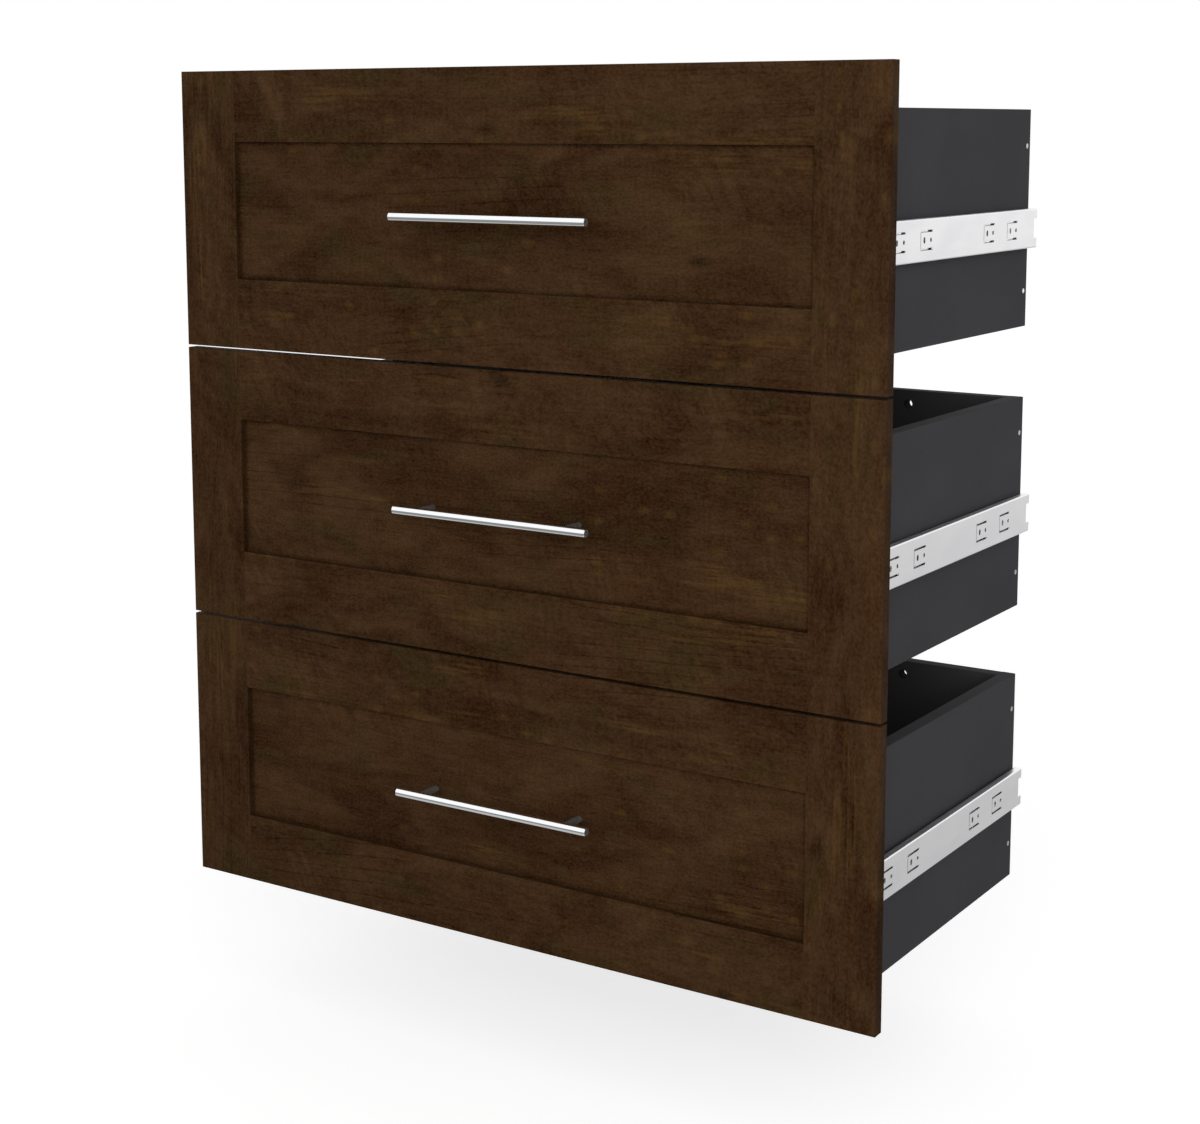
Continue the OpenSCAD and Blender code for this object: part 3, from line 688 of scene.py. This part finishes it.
def nylon(name, looks):
    """Moulded black nylon with a fine spark-eroded skin."""
    material, tree, shader = new_surface(name, IOR=1.5)
    skin = plain_noise(tree, "nylon_skin")
    level = swing(tree, plain_noise(tree, "nylon_flow"), 1.0, looks.nylon_tone_swing)
    connect(tree, scaled_by(tree, tuple(looks.nylon), level), shader.inputs["Base Color"])
    gloss = swing(tree, skin, looks.nylon_roughness, looks.nylon_gloss_swing)
    connect(tree, gloss, shader.inputs["Roughness"])
    bump(tree, shader, skin, looks.nylon_relief)
    return material


class DRAWER_OT_fronts(bpy.types.Operator):
    """Stain the stiles, rails and panels of the drawer fronts"""
    bl_idname = "drawer_insert.fronts"
    bl_label = "Drawer fronts"

    def execute(self, context):
        looks = context.scene.drawer_wood
        stile = wood("stile_wood", looks, "Z", STILE_CUT)
        rail = wood("rail_wood", looks, "X", RAIL_CUT)
        finish([f"{drawer}_front_stiles" for drawer in DRAWERS], stile)
        finish([f"{drawer}_front_rails" for drawer in DRAWERS], rail)
        tongue = Vector((looks.tongue, 0, looks.tongue))
        # Each panel gets its own material, so that its painted shade follows its own frame
        for drawer in DRAWERS:
            low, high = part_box(f"{drawer}_front_panel")
            panel = wood(f"{drawer}_panel_wood", looks, "X", PANEL_CUT,
                         opening=(low + tongue, high - tongue))
            finish([f"{drawer}_front_panel"], panel)
        return {"FINISHED"}


class DRAWER_OT_handles(bpy.types.Operator):
    """Polish the bar handles, and give their posts a painted dark reflection and shade"""
    bl_idname = "drawer_insert.handles"
    bl_label = "Handles"

    def execute(self, context):
        looks = context.scene.drawer_metal
        finish([f"{drawer}_handle_bar" for drawer in DRAWERS], chrome("bar_chrome", looks))
        finish([f"{drawer}_handle_posts" for drawer in DRAWERS], painted_dark_reflection("post_satin", looks))
        return {"FINISHED"}


class DRAWER_OT_boxes(bpy.types.Operator):
    """Face the box boards and bottoms with charcoal melamine"""
    bl_idname = "drawer_insert.boxes"
    bl_label = "Boxes"

    def execute(self, context):
        looks = context.scene.drawer_board
        board = melamine("charcoal_board", looks)
        plain = ("sides", "front", "bottom")
        finish([f"{drawer}_box_{piece}" for drawer in DRAWERS for piece in plain], board)
        # Each back board gets its own material, whose painted shade darkens the walls of its two holes
        for drawer in DRAWERS:
            low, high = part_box(f"{drawer}_box_back")
            z = high.z - looks.hole_drop
            holes = [(low.x + looks.hole_in, z), (high.x - looks.hole_in, z)]
            finish([f"{drawer}_box_back"], melamine(f"{drawer}_back_board", looks, holes))
        return {"FINISHED"}


class DRAWER_OT_slides(bpy.types.Operator):
    """Plate the slide members, their ball strips and every screw"""
    bl_idname = "drawer_insert.slides"
    bl_label = "Slides and screws"

    def execute(self, context):
        looks = context.scene.drawer_metal
        zinc = plated("slide_zinc", looks, looks.zinc, looks.slide_roughness, "slide_lines")
        screw = plated("screw_zinc", looks, looks.screw, looks.screw_roughness, "screw_lines")
        steel = plated("ball_steel", looks, looks.steel, looks.ball_roughness, "steel_lines")
        members = [f"{side}_{member}_member" for side in SIDES
                   for member in ("cabinet", "middle", "drawer")]
        strips = ("outer_ball_cages", "inner_ball_cages")
        screws = ("handle_screws", "box_screws", "slide_screws")
        for pieces, material in ((members, zinc), (strips, steel), (screws, screw)):
            finish([f"{drawer}_{piece}" for drawer in DRAWERS for piece in pieces], material)
        return {"FINISHED"}


def lever_outline(sizes, flip):
    """Points round a lever, as (along, up) from its pivot. The pad lies towards the front."""
    tail, tip = sizes.pivot_r, -sizes.reach - sizes.pad_r
    rows = []
    for step in range(OUTLINE_STEPS + 1):
        along = tip + (tail - tip) * (1 - math.cos(math.pi * step / OUTLINE_STEPS)) / 2
        bend = min(max(-along / sizes.reach, 0), 1)
        middle = flip * sizes.rise * bend * bend * (3 - 2 * bend)
        half = max(
            math.sqrt(max(sizes.pivot_r ** 2 - along ** 2, 0)),
            math.sqrt(max(sizes.pad_r ** 2 - (along + sizes.reach) ** 2, 0)),
            sizes.arm_r if -sizes.reach < along < 0 else 0,
        )
        rows.append((along, middle, half))
    top = [(along, middle + half) for along, middle, half in rows[1:-1]]
    under = [(along, middle - half) for along, middle, half in reversed(rows[1:-1])]
    front_end, back_end = rows[0][:2], rows[-1][:2]
    return [*top, back_end, *under, front_end]


def inset(outline, width):
    """The outline drawn in by a width all round."""
    points = [Vector(point) for point in outline]
    area = sum(here.cross(after) for here, after in zip(points, points[1:] + points[:1]))
    turn = math.copysign(1, area)
    drawn = []
    for number, point in enumerate(points):
        tangent = points[(number + 1) % len(points)] - points[number - 1]
        drawn.append(point + Vector((-tangent.y, tangent.x)).normalized() * width * turn)
    return drawn


def prism(mesh, outline, place, low, high, ease, slot):
    """A flat piece between two distances from the web, with softened outer edges."""
    loops = []
    for depth, width in ((low, 0.0), (high - ease, 0.0), (high, ease)):
        loops.append([mesh.verts.new(place(along, up, depth))
                      for along, up in inset(outline, width)])
    faces = []
    for under, over in zip(loops, loops[1:]):
        for here in range(len(outline)):
            after = (here + 1) % len(outline)
            faces.append(mesh.faces.new((under[here], under[after], over[after], over[here])))
    faces.append(mesh.faces.new(list(reversed(loops[0]))))
    faces.append(mesh.faces.new(loops[-1]))
    for face in faces:
        face.material_index = slot


def circle(radius, count):
    """Points round a circle."""
    turns = [2 * math.pi * number / count for number in range(count)]
    return [(radius * math.cos(turn), radius * math.sin(turn)) for turn in turns]


def lever_mesh(name, sizes, pivot, outward, flip):
    """A lever with its ribs and rivet, pivoted at a point of the web's outer face."""
    def place(along, up, depth):
        return pivot.x + outward * depth, pivot.y + along, pivot.z + up

    nylon_slot, steel_slot = 0, 1
    mesh = bmesh.new()
    low = sizes.gap
    high = low + sizes.thickness
    prism(mesh, lever_outline(sizes, flip), place, low, high, sizes.ease, nylon_slot)
    up = flip * sizes.rise

    # A rib is as wide as the gap beside it
    half = sizes.rib_pitch / 4
    for number in range(sizes.rib_count):
        along = -sizes.reach + (number - (sizes.rib_count - 1) / 2) * sizes.rib_pitch
        tall = sizes.rib_share * math.sqrt(sizes.pad_r ** 2 - (along + sizes.reach) ** 2)
        rib = [(along + half, up - tall), (along + half, up + tall),
               (along - half, up + tall), (along - half, up - tall)]
        prism(mesh, rib, place, high, high + sizes.rib_h, half / 2, nylon_slot)
    pin, head = circle(sizes.rivet_r / 2, PIN_CORNERS), circle(sizes.rivet_r, HEAD_CORNERS)
    prism(mesh, pin, place, 0, high, 0, steel_slot)
    prism(mesh, head, place, high, high + sizes.rivet_h, sizes.rivet_h / 2, steel_slot)
    bmesh.ops.recalc_face_normals(mesh, faces=mesh.faces)
    data = bpy.data.meshes.new(name)
    mesh.to_mesh(data)
    mesh.free()
    return data


class DRAWER_OT_levers(bpy.types.Operator):
    """Mould the levers that release each drawer from its slides"""
    bl_idname = "drawer_insert.levers"
    bl_label = "Release levers"

    def execute(self, context):
        sizes = context.scene.drawer_lever
        looks = context.scene.drawer_metal
        black = nylon("lever_nylon", looks)
        steel = plated("rivet_steel", looks, looks.steel, looks.rivet_roughness, "steel_lines")
        for drawer in DRAWERS:
            for side in SIDES:
                low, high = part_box(f"{drawer}_{side}_drawer_member")
                web = low.x + sizes.sheet if side == "right" else high.x - sizes.sheet
                pivot = Vector((web, low.y + sizes.pivot_in, (low.z + high.z) / 2))
                name = f"{drawer}_{side}_lever"
                data = lever_mesh(name, sizes, pivot, OUTWARD[side], LEVER_TURN[side])
                lever = bpy.data.objects.new(name, data)
                data.materials.append(black)
                data.materials.append(steel)
                context.scene.collection.objects.link(lever)
                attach(lever, f"{drawer}_drawer")
        return {"FINISHED"}


def seen_by(tree):
    """Whether the camera, a polished surface or clear glass looks at the surface."""
    path = add(tree, "ShaderNodeLightPath")
    return [path.outputs[f"Is {ray} Ray"] for ray in ("Camera", "Glossy", "Transmission")]


def floor_surface(looks):
    """A matt floor that is lifted to white where the camera or glass sees it. Metal sees it as painted
    shade: grey, darker under the part and in front of it.
    """
    material = bpy.data.materials.new("pale_floor")
    tree = empty_tree(material)
    matt = add(tree, "ShaderNodeBsdfDiffuse", {"Color": opaque(looks.floor)})
    camera, glossy, clear = seen_by(tree)
    place = coordinates(tree)
    distance = add(tree, "ShaderNodeVectorMath", {0: place}, operation="LENGTH").outputs["Value"]

    # In metal the floor is painted shade: it turns lighter with the root of its distance, and it is
    # darker in front
    reach = math_node(tree, "POWER", math_node(tree, "DIVIDE", distance, looks.gloss_reach), 0.5)
    in_metal = math_node(tree, "MULTIPLY_ADD", reach, looks.gloss_far - looks.gloss_near,
                         looks.gloss_near)
    face = CAD_BOX[0].y
    in_front = ramp(tree, parts_of(tree, place)["Y"], face - looks.front_to,
                    face - looks.front_from, looks.front_shade, 1.0)
    in_metal = math_node(tree, "MULTIPLY", in_metal, in_front)

    seen = ramp(tree, distance, looks.floor_near, looks.floor_far, looks.floor_glow_near,
                looks.floor_glow_far)
    level = ramp(tree, glossy, 0.0, 1.0, seen, in_metal)
    glow = add(tree, "ShaderNodeEmission", {"Color": (1, 1, 1, 1), "Strength": level})
    lift = math_node(tree, "MULTIPLY", math_node(tree, "MAXIMUM", camera, clear),
                     looks.floor_glow)
    amount = math_node(tree, "MAXIMUM", lift, glossy)
    both = add(tree, "ShaderNodeMixShader", {0: amount, 1: matt.outputs[0], 2: glow.outputs[0]})
    add(tree, "ShaderNodeOutputMaterial", {"Surface": both.outputs[0]})
    return material


def soft_lamp(name, place, target, power, size):
    """A square lamp aimed at a point."""
    data = bpy.data.lights.new(name, "AREA")
    data.energy = power
    data.size = size
    made = bpy.data.objects.new(name, data)
    made.location = place
    made.rotation_euler = (Vector(target) - Vector(place)).to_track_quat("-Z", "Y").to_euler()
    bpy.context.scene.collection.objects.link(made)


class DRAWER_OT_stage(bpy.types.Operator):
    """Set the floor, the soft light and the camera"""
    bl_idname = "drawer_insert.stage"
    bl_label = "Stage"

    def execute(self, context):
        looks = context.scene.drawer_stage
        self.make_floor(context.scene, looks)
        self.make_room(context.scene, looks)
        self.make_camera(context.scene, looks)
        return {"FINISHED"}

    def make_floor(self, scene, looks):
        """A plain pale floor that keeps a light shadow of the part."""
        z = CAD_BOX[0].z - looks.floor_drop
        data = bpy.data.meshes.new("floor")
        corners = [(x * FLOOR_HALF, y * FLOOR_HALF, z)
                   for x, y in ((-1, -1), (1, -1), (1, 1), (-1, 1))]
        data.from_pydata(corners, [], [(0, 1, 2, 3)])
        data.materials.append(floor_surface(looks))
        floor = bpy.data.objects.new("floor", data)
        scene.collection.objects.link(floor)

    def make_room(self, scene, looks):
        """A soft room light, white where it is seen, and one large soft lamp in front."""
        world = bpy.data.worlds.new("room")
        tree = empty_tree(world)
        camera, glossy, clear = seen_by(tree)
        seen = math_node(tree, "MAXIMUM", math_node(tree, "MAXIMUM", camera, glossy), clear)
        height = parts_of(tree, coordinates(tree, "Generated"))["Z"]
        room = ramp(tree, height, 0.0, 1.0, looks.sky_level, looks.zenith_level)
        level = ramp(tree, seen, 0.0, 1.0, room, 1.0)
        sky = add(tree, "ShaderNodeBackground", {"Color": (1, 1, 1, 1), "Strength": level})
        add(tree, "ShaderNodeOutputWorld", {"Surface": sky.outputs[0]})
        scene.world = world
        centre = (CAD_BOX[0] + CAD_BOX[1]) / 2
        soft_lamp("front_lamp", looks.key_place, centre, looks.key_power, looks.key_size)

    def make_camera(self, scene, looks):
        """The camera at the photograph's viewing angle."""
        data = bpy.data.cameras.new("camera")
        data.sensor_width = SENSOR_W
        data.lens = looks.lens
        data.shift_y = looks.shift
        camera = bpy.data.objects.new("camera", data)
        camera.location = looks.camera_place
        camera.rotation_euler = (math.pi / 2 - looks.camera_pitch, 0, looks.camera_yaw)
        scene.collection.objects.link(camera)
        scene.camera = camera
        scene.view_settings.view_transform = "Standard"


class DRAWER_PT_panel(bpy.types.Panel):
    """Lists the steps that finish the drawer insert"""
    bl_idname = "DRAWER_PT_panel"
    bl_label = "Drawer insert"
    bl_space_type = "VIEW_3D"
    bl_region_type = "UI"
    bl_category = "Drawer insert"

    def draw(self, context):
        for step in STEPS:
            self.layout.operator(step.bl_idname)


GROUPS = {
    "drawer_wood": WoodLooks,
    "drawer_board": BoardLooks,
    "drawer_metal": MetalLooks,
    "drawer_lever": LeverSizes,
    "drawer_stage": StageLooks,
}
STEPS = (DRAWER_OT_fronts, DRAWER_OT_handles, DRAWER_OT_boxes, DRAWER_OT_slides,
         DRAWER_OT_levers, DRAWER_OT_stage)
CLASSES = (*GROUPS.values(), *STEPS, DRAWER_PT_panel)


def register():
    for made in CLASSES:
        bpy.utils.register_class(made)
    for name, group in GROUPS.items():
        setattr(bpy.types.Scene, name, bpy.props.PointerProperty(type=group))


def unregister():
    for name in GROUPS:
        delattr(bpy.types.Scene, name)
    for made in reversed(CLASSES):
        bpy.utils.unregister_class(made)


def main():
    """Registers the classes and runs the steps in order."""
    register()
    for step in STEPS:
        group, name = step.bl_idname.split(".")
        getattr(getattr(bpy.ops, group), name)()


if __name__ == "__main__":
    main()
